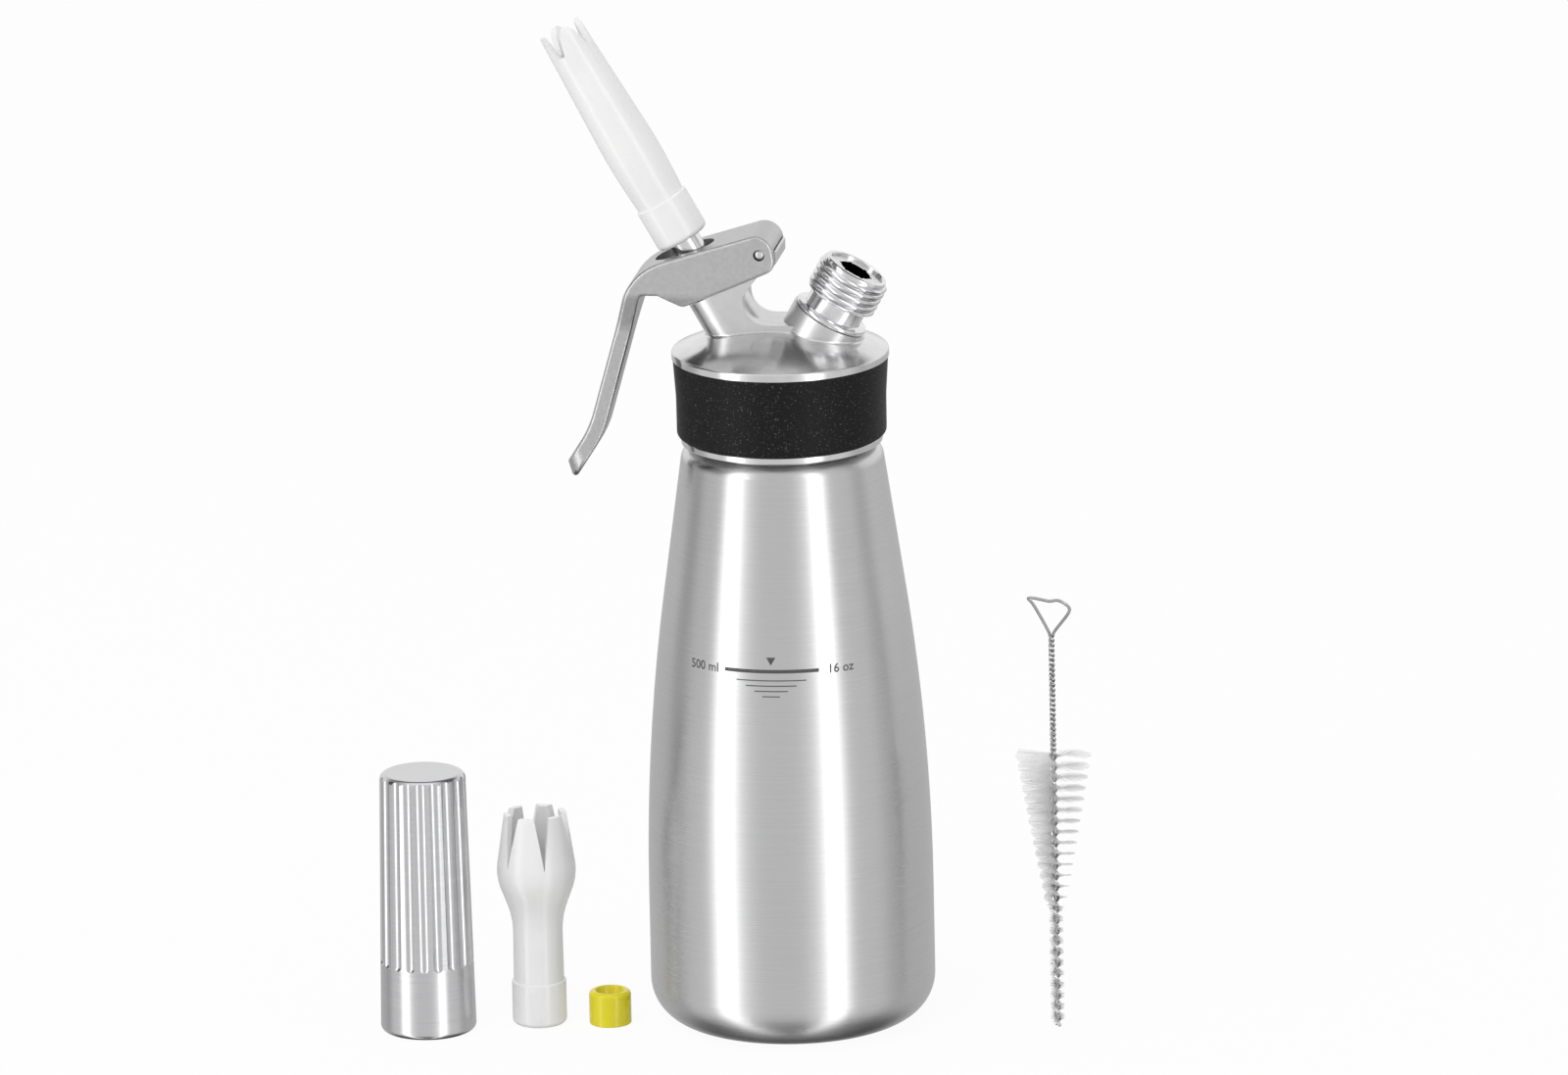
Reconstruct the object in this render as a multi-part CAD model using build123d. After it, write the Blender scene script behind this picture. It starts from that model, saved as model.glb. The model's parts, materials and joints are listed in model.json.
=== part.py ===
from build123d import *
import os
from math import cos, pi, radians, sin, sqrt, tan

# Cream whipper with its charger holder, second tip, spare end piece and cleaning brush.
# Millimetres, +Z up, origin on the standing plane at the bottle's axis.
# The valve and the lever lie towards -X, the charger nipple towards +X.

# Shared clearances, and how far a cutting form runs past the face that it opens
running_gap = 0.05
turning_gap = 0.3
seat_gap = 0.05
cut_over = 1.0

# A rounded end as a share of the width that it closes

# Bottle: drawn steel, a straight foot, a long bend and a rounded shoulder
body_r = 40.35
base_corner_r = 12.5
foot_land = 3.85
base_dish = 3.0
bend_z = 82.0
bend_r = 620.0
shoulder_z = 166.7
shoulder_step = 3.6
shoulder_rise = 1.2
shoulder_round = 3.6
neck_r = 24.7
neck_high = 17.7
neck_round = 1.0
bottle_wall = 1.0

# Head gasket, between the bottle's mouth and the head
gasket_thick = 3.0
gasket_width = 3.2

# Head: domed cap with a skirt over the bottle's neck
plate_thick = 7.0
cap_dome = 7.0
cap_overhang = 2.8
cap_rim_high = 2.2
cap_edge_round = 0.6
skirt_wall = 2.8
skirt_gap = 1.0
lip_proud = 0.6
lip_high = 1.9
lip_round = 0.3

# Grip band round the skirt
band_thick_top = 2.55
band_waist = 0.75
band_thick_low = 1.75
band_round = 1.4
band_top_round = 0.4
band_waist_round = 40.0

# Valve piston: hollow stem with a collar under the lever
stem_r = 4.5
stem_bore_r = 2.6
stem_end_gap = 0.3
collar_inset = 0.3
collar_thick = 3.0
collar_gap = 0.3
port_r = 1.3
port_level = -6.0
port_count = 4
spigot_r = 2.6
spigot_long = 6.2
o_ring_r = 0.55
o_ring_level = 5.0
valve_seal_thick = 1.5

# Valve spring, round the stem
spring_wire_r = 0.55
spring_side_gap = 0.4
spring_turns = 5
spring_end_gap = 0.3
spring_checks_per_turn = 80

# End piece: the nut with a funnel that closes the piston's lower end
end_piece_r = 5.95
end_piece_high = 9.7
end_piece_round = 1.3
end_piece_edge = 0.3
funnel_r = 4.2
funnel_deep = 4.6

# Valve tower, leaning towards -X
valve_tilt = 29.5
valve_foot_x = -9.16
tower_wall = 1.8
tower_top = 18.9
spring_pocket_floor = 9.0
valve_seat_wide = 0.65
valve_boss_wall = 2.1
valve_chamber_top = -1.0
valve_seat = -12.0

# Saddle between the tower and the nipple boss
saddle_high = 8.4
saddle_round = 7.0
saddle_wall_x = -9.2
web_round = 1.0
cast_round = 0.6

# Lever pin and the lug that carries it
pin_x = -3.9
pin_up = 29.2
pin_r = 1.6
pin_recess = 0.6
pin_dome = 1.2
lug_wall = 1.2
lug_round = 2.5
lug_under_round = 3.0
heel_reach = 4.7
heel_low = 2.8
heel_high = 0.8
heel_round = 0.5
heel_low_round = 1.2

# Lever: a channel over the tower with a bent handle
cheek_thick = 2.0
top_plate_thick = 2.0
lever_high = 5.65
lever_slope = 17.2
lever_rear = 4.8
lever_rear_round = 5.2
lever_rear_drop = 4.2
lever_low_round = 4.0
rear_wall_thick = 1.4
rear_wall_gap = 0.4
top_plate_long = 36.95
lever_bend_round = 17.0
channel_bend_round = 8.5
cheek_low_back = 22.3
cheek_low_drop = 15.9
cheek_low_round = 2.5
cheek_notch_run = 5.13
cheek_notch_drop = 12.4
cheek_notch_round = 1.0
handle_root_round = 1.5
handle_thick = 4.55
handle_slope = 15.9
handle_long = 48.8
handle_flick = 33.0
handle_flick_long = 12.6
handle_flick_round = 34.0
handle_wide = 11.6
handle_shoulder_round = 8.0
handle_neck_round = 14.0
lever_edge_round = 1.0
lever_slot_long = 17.6
lever_slot_wide = 13.0
lever_slot_back = 1.9
press_rib_r = 1.5
press_rib_drop = 1.2
press_rib_sink = 0.1

# Screw-on tips
tip_collar_r = 7.7
tip_collar_long = 12.6
tip_gap = 1.38
tip_foot_round = 1.5
tip_edge_round = 0.3
tip_groove_deep = 0.55
tip_groove_wide = 0.8
tip_belly_r = 7.95
tip_belly_at = 14.0
tip_end_r = 6.25
tip_end_round = 0.4
tip_long = 69.3
tip_bore_step = 1.0
tip_funnel_long = 2.0
nozzle_r = 4.6
tip_bend_r = 160.0
tip_teeth = 4
tooth_long = 7.5
tooth_shoulder = 1.9
tooth_tip_wide = 1.4
tooth_turn = 25.0
notch_floor_wide = 2.2
notch_floor_round = 0.5
notch_wide = 5.0
notch_round = 2.0
insert_wall = 1.0
insert_long = 10.5
insert_inset = 0.4

# Tulip tip
tulip_waist_r = 7.0
tulip_waist_top = 31.2
tulip_belly_r = 11.6
tulip_belly_z = 43.5
tulip_mouth_r = 8.8
tulip_high = 62.0
tulip_waist_round = 24.0
tulip_belly_round = 16.0
tulip_inner_round = 8.0
tulip_throat_round = 3.0
tulip_wall = 1.7
tulip_petals = 6
petal_slit_z = 47.1
petal_slit_wide = 4.7
petal_slit_core = 1.0
petal_turn = -68.0

# Charger nipple, leaning towards +X
nipple_tilt = 29.0
nipple_foot_x = 9.26
boss_top = 10.6
boss_ledge = 0.4
nipple_spigot_r = 6.6
nipple_spigot_long = 8.0
flange_proud = 0.35
flange_thick = 1.5
flange_round = 0.6
nipple_neck_long = 4.7
nipple_neck_deep = 2.0
nipple_neck_round = 0.6
thread_r = 10.35
thread_deep = 1.0
thread_long = 8.8
thread_round = 0.3
nipple_rim_wall = 1.45
nipple_rim_high = 1.45
nipple_rim_round = 0.7
nipple_cup_deep = 9.75
gas_hole_r = 1.2
nipple_ring_r = 0.8

# Parts in the nipple's cup, and the valve under its gas hole
charger_seal_thick = 2.4
charger_seal_hole_r = 1.9
pin_point_r = 1.3
pin_point_wall = 0.15
pin_point_long = 5.2
pin_shank_long = 3.1
pin_base_r = 3.0
pin_base_thick = 1.4
pin_hole_r = 0.5
retainer_top_drop = 0.9
retainer_hole_r = 4.6
retainer_notches = 6
retainer_notch_r = 0.6
check_disc_r = 1.8
check_disc_thick = 0.9
check_stem_r = 0.8
check_stem_long = 3.5

# Charger holder, standing on its open end
holder_high = 75.6
holder_wall = 2.15
holder_taper = 1.45
holder_top_round = 2.0
holder_low_round = 1.9
holder_bore_r = 9.25
holder_bore_round = 3.0
holder_cap_thick = 3.2
flute_count = 20
flute_turn = 6.3
flute_r = 2.2
flute_deep = 0.62
flute_low = 21.5
sleeve_long = 16.0
sleeve_wall = 1.0
sleeve_inset = 0.6

# Where the loose pieces stand: steps along X from the bottle's side, and places along Y
spare_step = 10.45
spare_y = -12.3
tulip_step = 20.1
tulip_y = -13.5
holder_step = 30.5
holder_y = -22.4
brush_step = 36.15
brush_y = -6.0

# Cleaning brush: twisted wire, hanging loop and bristles
brush_wire_r = 0.9
brush_low_z = 80.4
brush_neck_z = 115.5
loop_wire_r = 0.5
loop_high = 10.5
loop_ear_x = 7.1
loop_dip_x = 0.6
loop_dip = 1.3
loop_top_x = 2.4
loop_top_dip = 0.6
loop_side_x = 5.9
loop_side_high = 7.4
loop_round = 1.1
bristle_r = 0.2
bristle_core_r = 1.0
bristle_reach = 11.15
bristle_waist_z = 35.5
bristle_waist_reach = 2.9
bristle_tip_z = 1.2
bristle_tip_reach = 2.0
bristle_pitch = 6.4
bristle_step = 0.298
bristle_low_step = 0.762

# Levels and radii that follow from the sizes above
foot_inner_r = body_r - base_corner_r - foot_land
shoulder_r = neck_r + shoulder_step
neck_foot_z = shoulder_z + shoulder_rise
mouth_z = neck_foot_z + neck_high
plate_under = mouth_z + gasket_thick
cap_top = plate_under + plate_thick
band_top = cap_top - cap_rim_high
skirt_bore_r = neck_r + turning_gap
skirt_r = skirt_bore_r + skirt_wall
skirt_low = neck_foot_z + skirt_gap
band_low = skirt_low + lip_high
cap_r = skirt_r + cap_overhang
spring_mean_r = stem_r + spring_side_gap + spring_wire_r
spring_pocket_r = spring_mean_r + spring_wire_r + spring_side_gap
tower_r = spring_pocket_r + tower_wall
collar_r = tower_r - collar_inset
valve_chamber_r = end_piece_r - valve_seat_wide
valve_boss_r = valve_chamber_r + valve_boss_wall
seal_top = valve_seat - seat_gap
end_piece_top = seal_top - valve_seal_thick
pin_z = cap_top + pin_up
lug_r = pin_r + lug_wall
cheek_inner = tower_r + turning_gap
lever_wide = 2 * (cheek_inner + cheek_thick)
cheek_notch_z = pin_z - cheek_notch_drop
tip_bore_r = stem_r + running_gap
tip_bore_top = insert_long + tip_bore_step
insert_r = tip_bore_r + insert_wall
flange_r = thread_r + flange_proud
boss_r = flange_r + boss_ledge
nipple_neck_r = thread_r - nipple_neck_deep
nipple_rim_r = thread_r - thread_deep
nipple_cup_r = nipple_rim_r - nipple_rim_wall
thread_low = boss_top + flange_thick + nipple_neck_long
thread_top = thread_low + thread_long
nipple_rim_top = thread_top + nipple_rim_high
nipple_cup_floor = nipple_rim_top - nipple_cup_deep
sleeve_r = thread_r + running_gap + sleeve_wall
holder_low_r = sleeve_r + seat_gap + holder_wall
holder_top_r = holder_low_r - holder_taper
flute_top = holder_high + cut_over
spare_x = -(body_r + spare_step)
tulip_x = spare_x - tulip_step
holder_x = tulip_x - holder_step
brush_x = body_r + brush_step


# Tilted frames: local Z runs up the valve or the nipple, local Y is the part's Y
def leaning_frame(foot_x, tilt):
    angle = radians(tilt)
    plane = Plane(
        origin=(foot_x, 0, cap_top),
        x_dir=(cos(angle), 0, -sin(angle)),
        z_dir=(sin(angle), 0, cos(angle)),
    )
    return plane.location


valve_frame = leaning_frame(valve_foot_x, -valve_tilt)
nipple_frame = leaning_frame(nipple_foot_x, nipple_tilt)


# Basic forms
def post(radius, low, high):
    return Pos(0, 0, low) * Cylinder(radius, high - low, align=(Align.CENTER, Align.CENTER, Align.MIN))


def ring(outer, inner, low, high):
    return post(outer, low, high) - post(inner, low, high)


def turned(points, rounds):
    profile = make_face(FilletPolyline(*points, radius=rounds, close=True))
    return revolve(Plane.XZ * profile, Axis.Z)


def side_plate(points, rounds, half_thick):
    profile = make_face(FilletPolyline(*points, radius=rounds, close=True))
    return extrude(Plane.XZ * profile, amount=half_thick, both=True)


# Points of the lever: along its slope from the pin, and out along the two stretches of the handle
def beside_pin(along, up):
    slope = radians(lever_slope)
    x = pin_x + along * cos(slope) - up * sin(slope)
    return Vector(x, pin_z + along * sin(slope) + up * cos(slope))


def down_handle(tilt, length):
    return Vector(-sin(radians(tilt)), -cos(radians(tilt))) * length


def behind_handle(tilt, depth):
    return Vector(cos(radians(tilt)), -sin(radians(tilt))) * depth


def on_valve_axis(level):
    spot = valve_frame * Pos(0, 0, level)
    return spot.position


# The level on the valve axis that the underside of the lever's top plate meets
valve_lean = radians(valve_tilt - lever_slope)
pin_local = valve_frame.inverse() * Pos(pin_x, 0, pin_z)
plate_rise = (lever_high - top_plate_thick) / cos(valve_lean)
plate_under_level = pin_local.position.Z + plate_rise + pin_local.position.X * tan(valve_lean)
press_level = plate_under_level - press_rib_drop - press_rib_r
collar_top = press_level - collar_gap
collar_low = collar_top - collar_thick

# The tip's foot clears the lever's sloping top, and the stem ends inside the tip's thread ring
lever_top_level = plate_under_level + top_plate_thick / cos(valve_lean)
tip_foot = lever_top_level + tip_collar_r * tan(valve_lean) + tip_gap
stem_top = tip_foot + insert_long - stem_end_gap


# The bottle's section on both sides of its axis, up to a given top
def bottle_section(top_z):
    side = FilletPolyline(
        (foot_inner_r, 0),
        (body_r, 0),
        (body_r, bend_z),
        (shoulder_r, shoulder_z),
        (neck_r, neck_foot_z),
        (neck_r, top_z),
        radius=[base_corner_r, bend_r, shoulder_round, neck_round],
    )
    dish = ThreePointArc((-foot_inner_r, 0), (0, base_dish), (foot_inner_r, 0))
    top = Line((-neck_r, top_z), (neck_r, top_z))
    return make_face(side.edges() + mirror(side, Plane.YZ).edges() + dish.edges() + top.edges())


def bottle():
    right_half = Rectangle(2 * body_r, 2 * mouth_z, align=(Align.MIN, Align.CENTER))
    outside = bottle_section(mouth_z) & right_half
    inside = offset(bottle_section(mouth_z + 2 * bottle_wall), amount=-bottle_wall) & right_half
    return revolve(Plane.XZ * (outside - inside), Axis.Z)


def head_gasket():
    return ring(neck_r - seat_gap, neck_r - gasket_width, mouth_z, plate_under)


# The cap's polished top, a low dome that springs from the rim
def cap_top_dome():
    foot_r = cap_r - cap_edge_round
    dome_r = (foot_r * foot_r + cap_dome * cap_dome) / (2 * cap_dome)
    ball = Pos(0, 0, cap_top + cap_dome - dome_r) * Sphere(dome_r)
    return ball & post(foot_r, cap_top - cap_edge_round, cap_top + cap_dome + cut_over)


def head_casting():
    cap = turned(
        [
            (0, plate_under),
            (skirt_bore_r, plate_under),
            (skirt_bore_r, skirt_low),
            (skirt_r + lip_proud, skirt_low),
            (skirt_r + lip_proud, band_low),
            (skirt_r, band_low),
            (skirt_r, band_top),
            (cap_r, band_top),
            (cap_r, cap_top),
            (0, cap_top),
        ],
        [0, 0, 0, lip_round, lip_round, 0, 0, 0, cap_edge_round, 0],
    )
    tower = valve_frame * post(tower_r, -plate_thick, tower_top)
    boss = nipple_frame * post(boss_r, -2 * plate_thick, boss_top)
    foot = on_valve_axis(0)
    peak = on_valve_axis(tower_top)
    lean = radians(valve_tilt)
    shoulder = (peak.X + tower_r * cos(lean), peak.Z + tower_r * sin(lean))
    saddle_z = cap_top + saddle_high
    web = side_plate(
        [
            (foot.X, plate_under),
            (foot.X, foot.Z),
            (peak.X, peak.Z),
            shoulder,
            beside_pin(-lug_r, -lug_r),
            (saddle_wall_x, shoulder[1] - tower_r * sin(lean)),
            (saddle_wall_x, saddle_z),
            (nipple_foot_x, saddle_z),
            (nipple_foot_x, plate_under),
        ],
        [0, 0, 0, 0, 0, web_round, saddle_round, 0, 0],
        tower_r,
    )
    lug = side_plate(
        [
            shoulder,
            beside_pin(-lug_r, lug_r),
            beside_pin(lug_r, lug_r),
            (pin_x + lug_r, pin_z + heel_high),
            (pin_x + heel_reach, pin_z + heel_high),
            (pin_x + heel_reach, pin_z - heel_low),
            (pin_x, pin_z - lug_r - heel_low),
            (saddle_wall_x, peak.Z),
        ],
        [0, lug_round, lug_round, 0, heel_round, heel_low_round, lug_under_round, 0],
        cheek_inner - turning_gap,
    )
    body = cap + cap_top_dome() + tower + boss + web + lug
    dome_edges = body.faces().filter_by(GeomType.SPHERE).edges()
    feet = [edge for edge in dome_edges if edge.bounding_box().min.Z > cap_top + cast_round]
    body = body.fillet(cast_round, feet)
    body -= post(skirt_bore_r, skirt_low - cut_over, plate_under)
    body += valve_frame * post(valve_boss_r, valve_seat, -plate_thick)
    body -= valve_frame * post(spring_pocket_r, spring_pocket_floor, tower_top + 4 * tower_r)
    body -= valve_frame * post(stem_r + running_gap, valve_chamber_top, spring_pocket_floor)
    body -= valve_frame * post(valve_chamber_r, valve_seat - cut_over, valve_chamber_top)
    spigot_floor = boss_top - nipple_spigot_long
    body -= nipple_frame * post(nipple_spigot_r + seat_gap, spigot_floor, boss_top + cut_over)
    body -= nipple_frame * post(gas_hole_r, -3 * plate_thick, boss_top)
    pin_hole = Pos(pin_x, 0, pin_z) * Rot(90, 0, 0) * Cylinder(pin_r + running_gap, lever_wide)
    return body - pin_hole


def grip_band():
    inner = skirt_r + seat_gap
    return turned(
        [
            (inner, band_low + seat_gap),
            (skirt_r + band_thick_low, band_low + seat_gap),
            (skirt_r + band_thick_top - band_waist, (band_low + band_top) / 2),
            (skirt_r + band_thick_top, band_top - seat_gap),
            (inner, band_top - seat_gap),
        ],
        [0, band_round, band_waist_round, band_top_round, 0],
    )


# The outer corner of the lever's bend, and the corner inside it that a wall leaves
def lever_corner(wall, handle_wall):
    fold = radians(90 - lever_slope - handle_slope)
    along = (handle_wall - wall * cos(fold)) / sin(fold)
    return beside_pin(along - top_plate_long, lever_high - wall)


def lever():
    corner = lever_corner(0, 0)
    inner = lever_corner(top_plate_thick, handle_thick)
    flick = corner + down_handle(handle_slope, handle_long)
    end = flick + down_handle(handle_flick, handle_flick_long)
    past_end = end + down_handle(handle_flick, 2 * handle_thick)
    half_fold = (handle_flick - handle_slope) / 2
    inner_flick = flick + behind_handle(handle_slope + half_fold, handle_thick / cos(radians(half_fold)))
    under = inner + down_handle(handle_slope, (inner.Y - cheek_notch_z) / cos(radians(handle_slope)))
    body = side_plate(
        [
            beside_pin(lever_rear, lever_high),
            corner,
            flick,
            past_end,
            past_end + behind_handle(handle_flick, handle_thick),
            inner_flick,
            under,
            under + Vector(cheek_notch_run, 0),
            (pin_x - cheek_low_back, pin_z - cheek_low_drop),
            (pin_x + lever_rear, pin_z - lever_rear_drop),
        ],
        [
            lever_rear_round,
            lever_bend_round,
            handle_flick_round,
            0,
            0,
            handle_flick_round - handle_thick,
            handle_root_round,
            cheek_notch_round,
            cheek_low_round,
            lever_low_round,
        ],
        lever_wide / 2,
    )
    half_plan_rounds = [0, handle_shoulder_round, handle_neck_round, 0]
    plan = make_face(
        FilletPolyline(
            (-lever_wide / 2, pin_z + 2 * lever_high),
            (-lever_wide / 2, cheek_notch_z),
            (-handle_wide / 2, cheek_notch_z - lever_wide / 2),
            (-handle_wide / 2, past_end.Y - handle_thick),
            (handle_wide / 2, past_end.Y - handle_thick),
            (handle_wide / 2, cheek_notch_z - lever_wide / 2),
            (lever_wide / 2, cheek_notch_z),
            (lever_wide / 2, pin_z + 2 * lever_high),
            radius=half_plan_rounds + half_plan_rounds[::-1],
            close=True,
        )
    )
    body &= extrude(Plane.YZ * plan, amount=2 * handle_long, both=True)
    end_plane = Plane(
        origin=(end.X, 0, end.Y),
        x_dir=(0, 1, 0),
        z_dir=(-sin(radians(lever_slope)), 0, cos(radians(lever_slope))),
    )
    corners = Pos(0, handle_wide) * Rectangle(2 * handle_wide, 2 * handle_wide) - Circle(handle_wide / 2)
    body -= extrude(end_plane * Pos(0, -handle_wide / 2) * corners, amount=2 * handle_wide, both=True)
    top_edges = body.faces().sort_by(Axis.Z)[-1].edges().filter_by(Axis.Y, reverse=True)
    body = body.fillet(lever_edge_round, top_edges)
    channel = side_plate(
        [
            beside_pin(lever_rear - rear_wall_thick, lever_high - top_plate_thick),
            inner,
            under + down_handle(handle_slope, lever_wide),
            (pin_x + lever_wide, cheek_notch_z - lever_wide),
            (pin_x + lever_wide, pin_z + heel_high + rear_wall_gap),
            (pin_x + lug_r, pin_z + heel_high + rear_wall_gap),
        ],
        [lever_rear_round - 2 * rear_wall_thick, channel_bend_round, 0, 0, 0, 0],
        cheek_inner,
    )
    body -= channel
    spot = on_valve_axis(plate_under_level)
    slot_plane = Plane(
        origin=(spot.X - lever_slot_back, 0, spot.Z),
        x_dir=(cos(radians(lever_slope)), 0, sin(radians(lever_slope))),
        z_dir=(-sin(radians(lever_slope)), 0, cos(radians(lever_slope))),
    )
    slot = slot_plane * SlotOverall(lever_slot_long, lever_slot_wide)
    body -= extrude(slot, amount=3 * top_plate_thick, both=True)
    rib_level = on_valve_axis(press_level + press_rib_r)
    for side in (-1, 1):
        rib_y = side * (lever_slot_wide / 2 + cheek_inner) / 2
        rib = Cylinder(press_rib_r, cheek_inner - lever_slot_wide / 2 + 2 * press_rib_sink)
        body += Pos(rib_level.X, rib_y, rib_level.Z) * Rot(90, 0, 0) * rib
    pin_hole = Pos(pin_x, 0, pin_z) * Rot(90, 0, 0) * Cylinder(pin_r + seat_gap, 2 * lever_wide)
    return body - pin_hole


def lever_pin():
    pin = Cylinder(pin_r, lever_wide - 2 * pin_recess)
    pin = pin.fillet(pin_dome, pin.edges().filter_by(GeomType.CIRCLE))
    return Pos(pin_x, 0, pin_z) * Rot(90, 0, 0) * pin


def valve_piston():
    shoulder = seal_top
    body = post(stem_r, shoulder, stem_top) + post(collar_r, collar_low, collar_top)
    body += post(spigot_r, shoulder - spigot_long, shoulder)
    body -= post(stem_bore_r, port_level - 2 * port_r, stem_top + cut_over)
    low, high = o_ring_level - o_ring_r, o_ring_level + o_ring_r
    groove = ring(stem_r + cut_over, stem_r - 2 * o_ring_r, low, high)
    body -= groove
    for turn in range(port_count):
        port = Rot(0, 0, turn * 360 / port_count) * Pos(stem_r, 0, port_level) * Rot(0, 90, 0)
        body -= port * Cylinder(port_r, 2 * stem_r)
    return valve_frame * body


def piston_o_ring():
    return valve_frame * Pos(0, 0, o_ring_level) * Torus(stem_r - o_ring_r, o_ring_r - seat_gap / 2)


def valve_seal():
    return valve_frame * ring(end_piece_r, spigot_r + seat_gap, end_piece_top, seal_top)


# The nut with its funnel, standing on Z = 0 with the funnel up
def end_piece_form():
    body = turned(
        [
            (0, 0),
            (end_piece_r, 0),
            (end_piece_r, end_piece_high),
            (funnel_r, end_piece_high),
            (spigot_r + seat_gap, end_piece_high - funnel_deep),
            (0, end_piece_high - funnel_deep),
        ],
        [0, end_piece_edge, end_piece_round, end_piece_edge, 0, 0],
    )
    return body - post(spigot_r + seat_gap, -cut_over, end_piece_high)


def valve_end_piece():
    return valve_frame * Pos(0, 0, end_piece_top) * Rot(180, 0, 0) * end_piece_form()


def spare_end_piece():
    return Pos(spare_x, spare_y, 0) * end_piece_form()


# A round spring: quarter turns of a helix, each made of two tangent arcs
def helix_point(turn, low, pitch):
    angle = 2 * pi * turn
    return Vector(spring_mean_r * cos(angle), spring_mean_r * sin(angle), low + pitch * turn)


def helix_direction(turn, pitch):
    angle = 2 * pi * turn
    rise = pitch / (2 * pi)
    return Vector(-spring_mean_r * sin(angle), spring_mean_r * cos(angle), rise).normalized()


def two_arcs(start, start_way, end, end_way):
    span = end - start
    both = start_way + end_way
    square = both.dot(both) - 4
    cross = span.dot(both)
    reach = (cross - sqrt(cross * cross - square * span.dot(span))) / square
    first = start + start_way * reach
    last = end - end_way * reach
    middle = (first + last) * 0.5
    way = (last - first).normalized()
    return [TangentArc(start, middle, tangent=start_way), TangentArc(middle, end, tangent=way)]


def valve_spring():
    low = spring_pocket_floor + spring_wire_r + spring_end_gap
    high = collar_low - spring_wire_r - spring_end_gap
    pitch = (high - low) / spring_turns
    arcs = []
    for quarter in range(4 * spring_turns):
        start, end = quarter / 4, (quarter + 1) / 4
        arcs += two_arcs(
            helix_point(start, low, pitch),
            helix_direction(start, pitch),
            helix_point(end, low, pitch),
            helix_direction(end, pitch),
        )
    path = Wire([edge for arc in arcs for edge in arc.edges()])
    section = Plane(origin=path @ 0, z_dir=path % 0) * Circle(spring_wire_r)
    checks = spring_turns * spring_checks_per_turn
    spots = [path @ (k / checks) for k in range(checks + 1)]
    gaps = [
        (spots[i] - spots[j]).length - 2 * spring_wire_r
        for i in range(checks + 1)
        for j in range(i + spring_checks_per_turn // 2, checks + 1)
    ]
    print("valve spring, least gap between turns:", round(min(gaps), 2), "mm")
    return valve_frame * sweep(section, path=path)


# A hollow tip seen as half a section, from its collar at the foot to its mouth
def tip_collar_points():
    groove = tip_collar_long
    return [
        (tip_collar_r, 0),
        (tip_collar_r, groove),
        (tip_collar_r - tip_groove_deep, groove + tip_groove_deep / 2),
        (tip_collar_r - tip_groove_deep, groove + tip_groove_wide),
    ]


def straight_tip():
    outside = [
        *tip_collar_points(),
        (tip_belly_r, tip_collar_long + tip_belly_at),
        (tip_end_r, tip_long),
    ]
    inside = [
        (nozzle_r, tip_long),
        (nozzle_r, tip_bore_top + tip_funnel_long),
        (stem_bore_r, tip_bore_top),
        (insert_r + seat_gap, tip_bore_top),
        (insert_r + seat_gap, 0),
    ]
    rounds = [tip_foot_round, tip_edge_round, 0, 0, tip_bend_r, tip_end_round, tip_end_round, 0, 0, 0, 0]
    body = turned(outside + inside, rounds)
    notch = make_face(
        FilletPolyline(
            (-notch_floor_wide / 2, tip_long - tooth_long),
            (notch_floor_wide / 2, tip_long - tooth_long),
            (notch_wide / 2, tip_long - tooth_shoulder),
            (pi * tip_end_r / tip_teeth - tooth_tip_wide / 2, tip_long + cut_over),
            (-pi * tip_end_r / tip_teeth + tooth_tip_wide / 2, tip_long + cut_over),
            (-notch_wide / 2, tip_long - tooth_shoulder),
            radius=[notch_floor_round, notch_floor_round, notch_round, 0, 0, notch_round],
            close=True,
        )
    )
    cutter = Pos(0, -tip_end_r, 0) * extrude(Plane.XZ * notch, amount=tip_end_r, both=True)
    for tooth in range(tip_teeth):
        between = tooth_turn + (tooth + 0.5) * 360 / tip_teeth
        body -= Rot(0, 0, between + 90) * cutter
    return valve_frame * Pos(0, 0, tip_foot) * body


def tip_insert():
    return ring(insert_r, tip_bore_r, insert_inset, insert_long)


def straight_tip_insert():
    return valve_frame * Pos(0, 0, tip_foot) * tip_insert()


def tulip_tip():
    outside = [
        *tip_collar_points(),
        (tulip_waist_r, tulip_waist_top),
        (tulip_belly_r, tulip_belly_z),
        (tulip_mouth_r, tulip_high),
    ]
    inside = [
        (tulip_mouth_r - tulip_wall, tulip_high),
        (tulip_belly_r - tulip_wall, tulip_belly_z),
        (tulip_waist_r - tulip_wall, tulip_waist_top),
        (stem_bore_r, tip_bore_top + tip_funnel_long),
        (stem_bore_r, tip_bore_top),
        (insert_r + seat_gap, tip_bore_top),
        (insert_r + seat_gap, 0),
    ]
    outer_rounds = [tip_foot_round, tip_edge_round, 0, 0]
    outer_rounds += [tulip_waist_round, tulip_belly_round, tip_edge_round]
    inner_rounds = [tip_edge_round, tulip_belly_round - tulip_wall]
    inner_rounds += [tulip_inner_round, tulip_throat_round, 0, 0, 0]
    body = turned(outside + inside, outer_rounds + inner_rounds)
    slit = make_face(
        Polyline(
            (0, petal_slit_z),
            (petal_slit_wide / 2, tulip_high + cut_over),
            (-petal_slit_wide / 2, tulip_high + cut_over),
            close=True,
        )
    )
    reach = tulip_belly_r - petal_slit_core
    cutter = Pos(0, -tulip_belly_r, 0) * extrude(Plane.XZ * slit, amount=reach, both=True)
    for petal in range(tulip_petals):
        body -= Rot(0, 0, petal_turn + 90 + petal * 360 / tulip_petals) * cutter
    return Pos(tulip_x, tulip_y, 0) * body


def tulip_tip_insert():
    return Pos(tulip_x, tulip_y, 0) * tip_insert()


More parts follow.
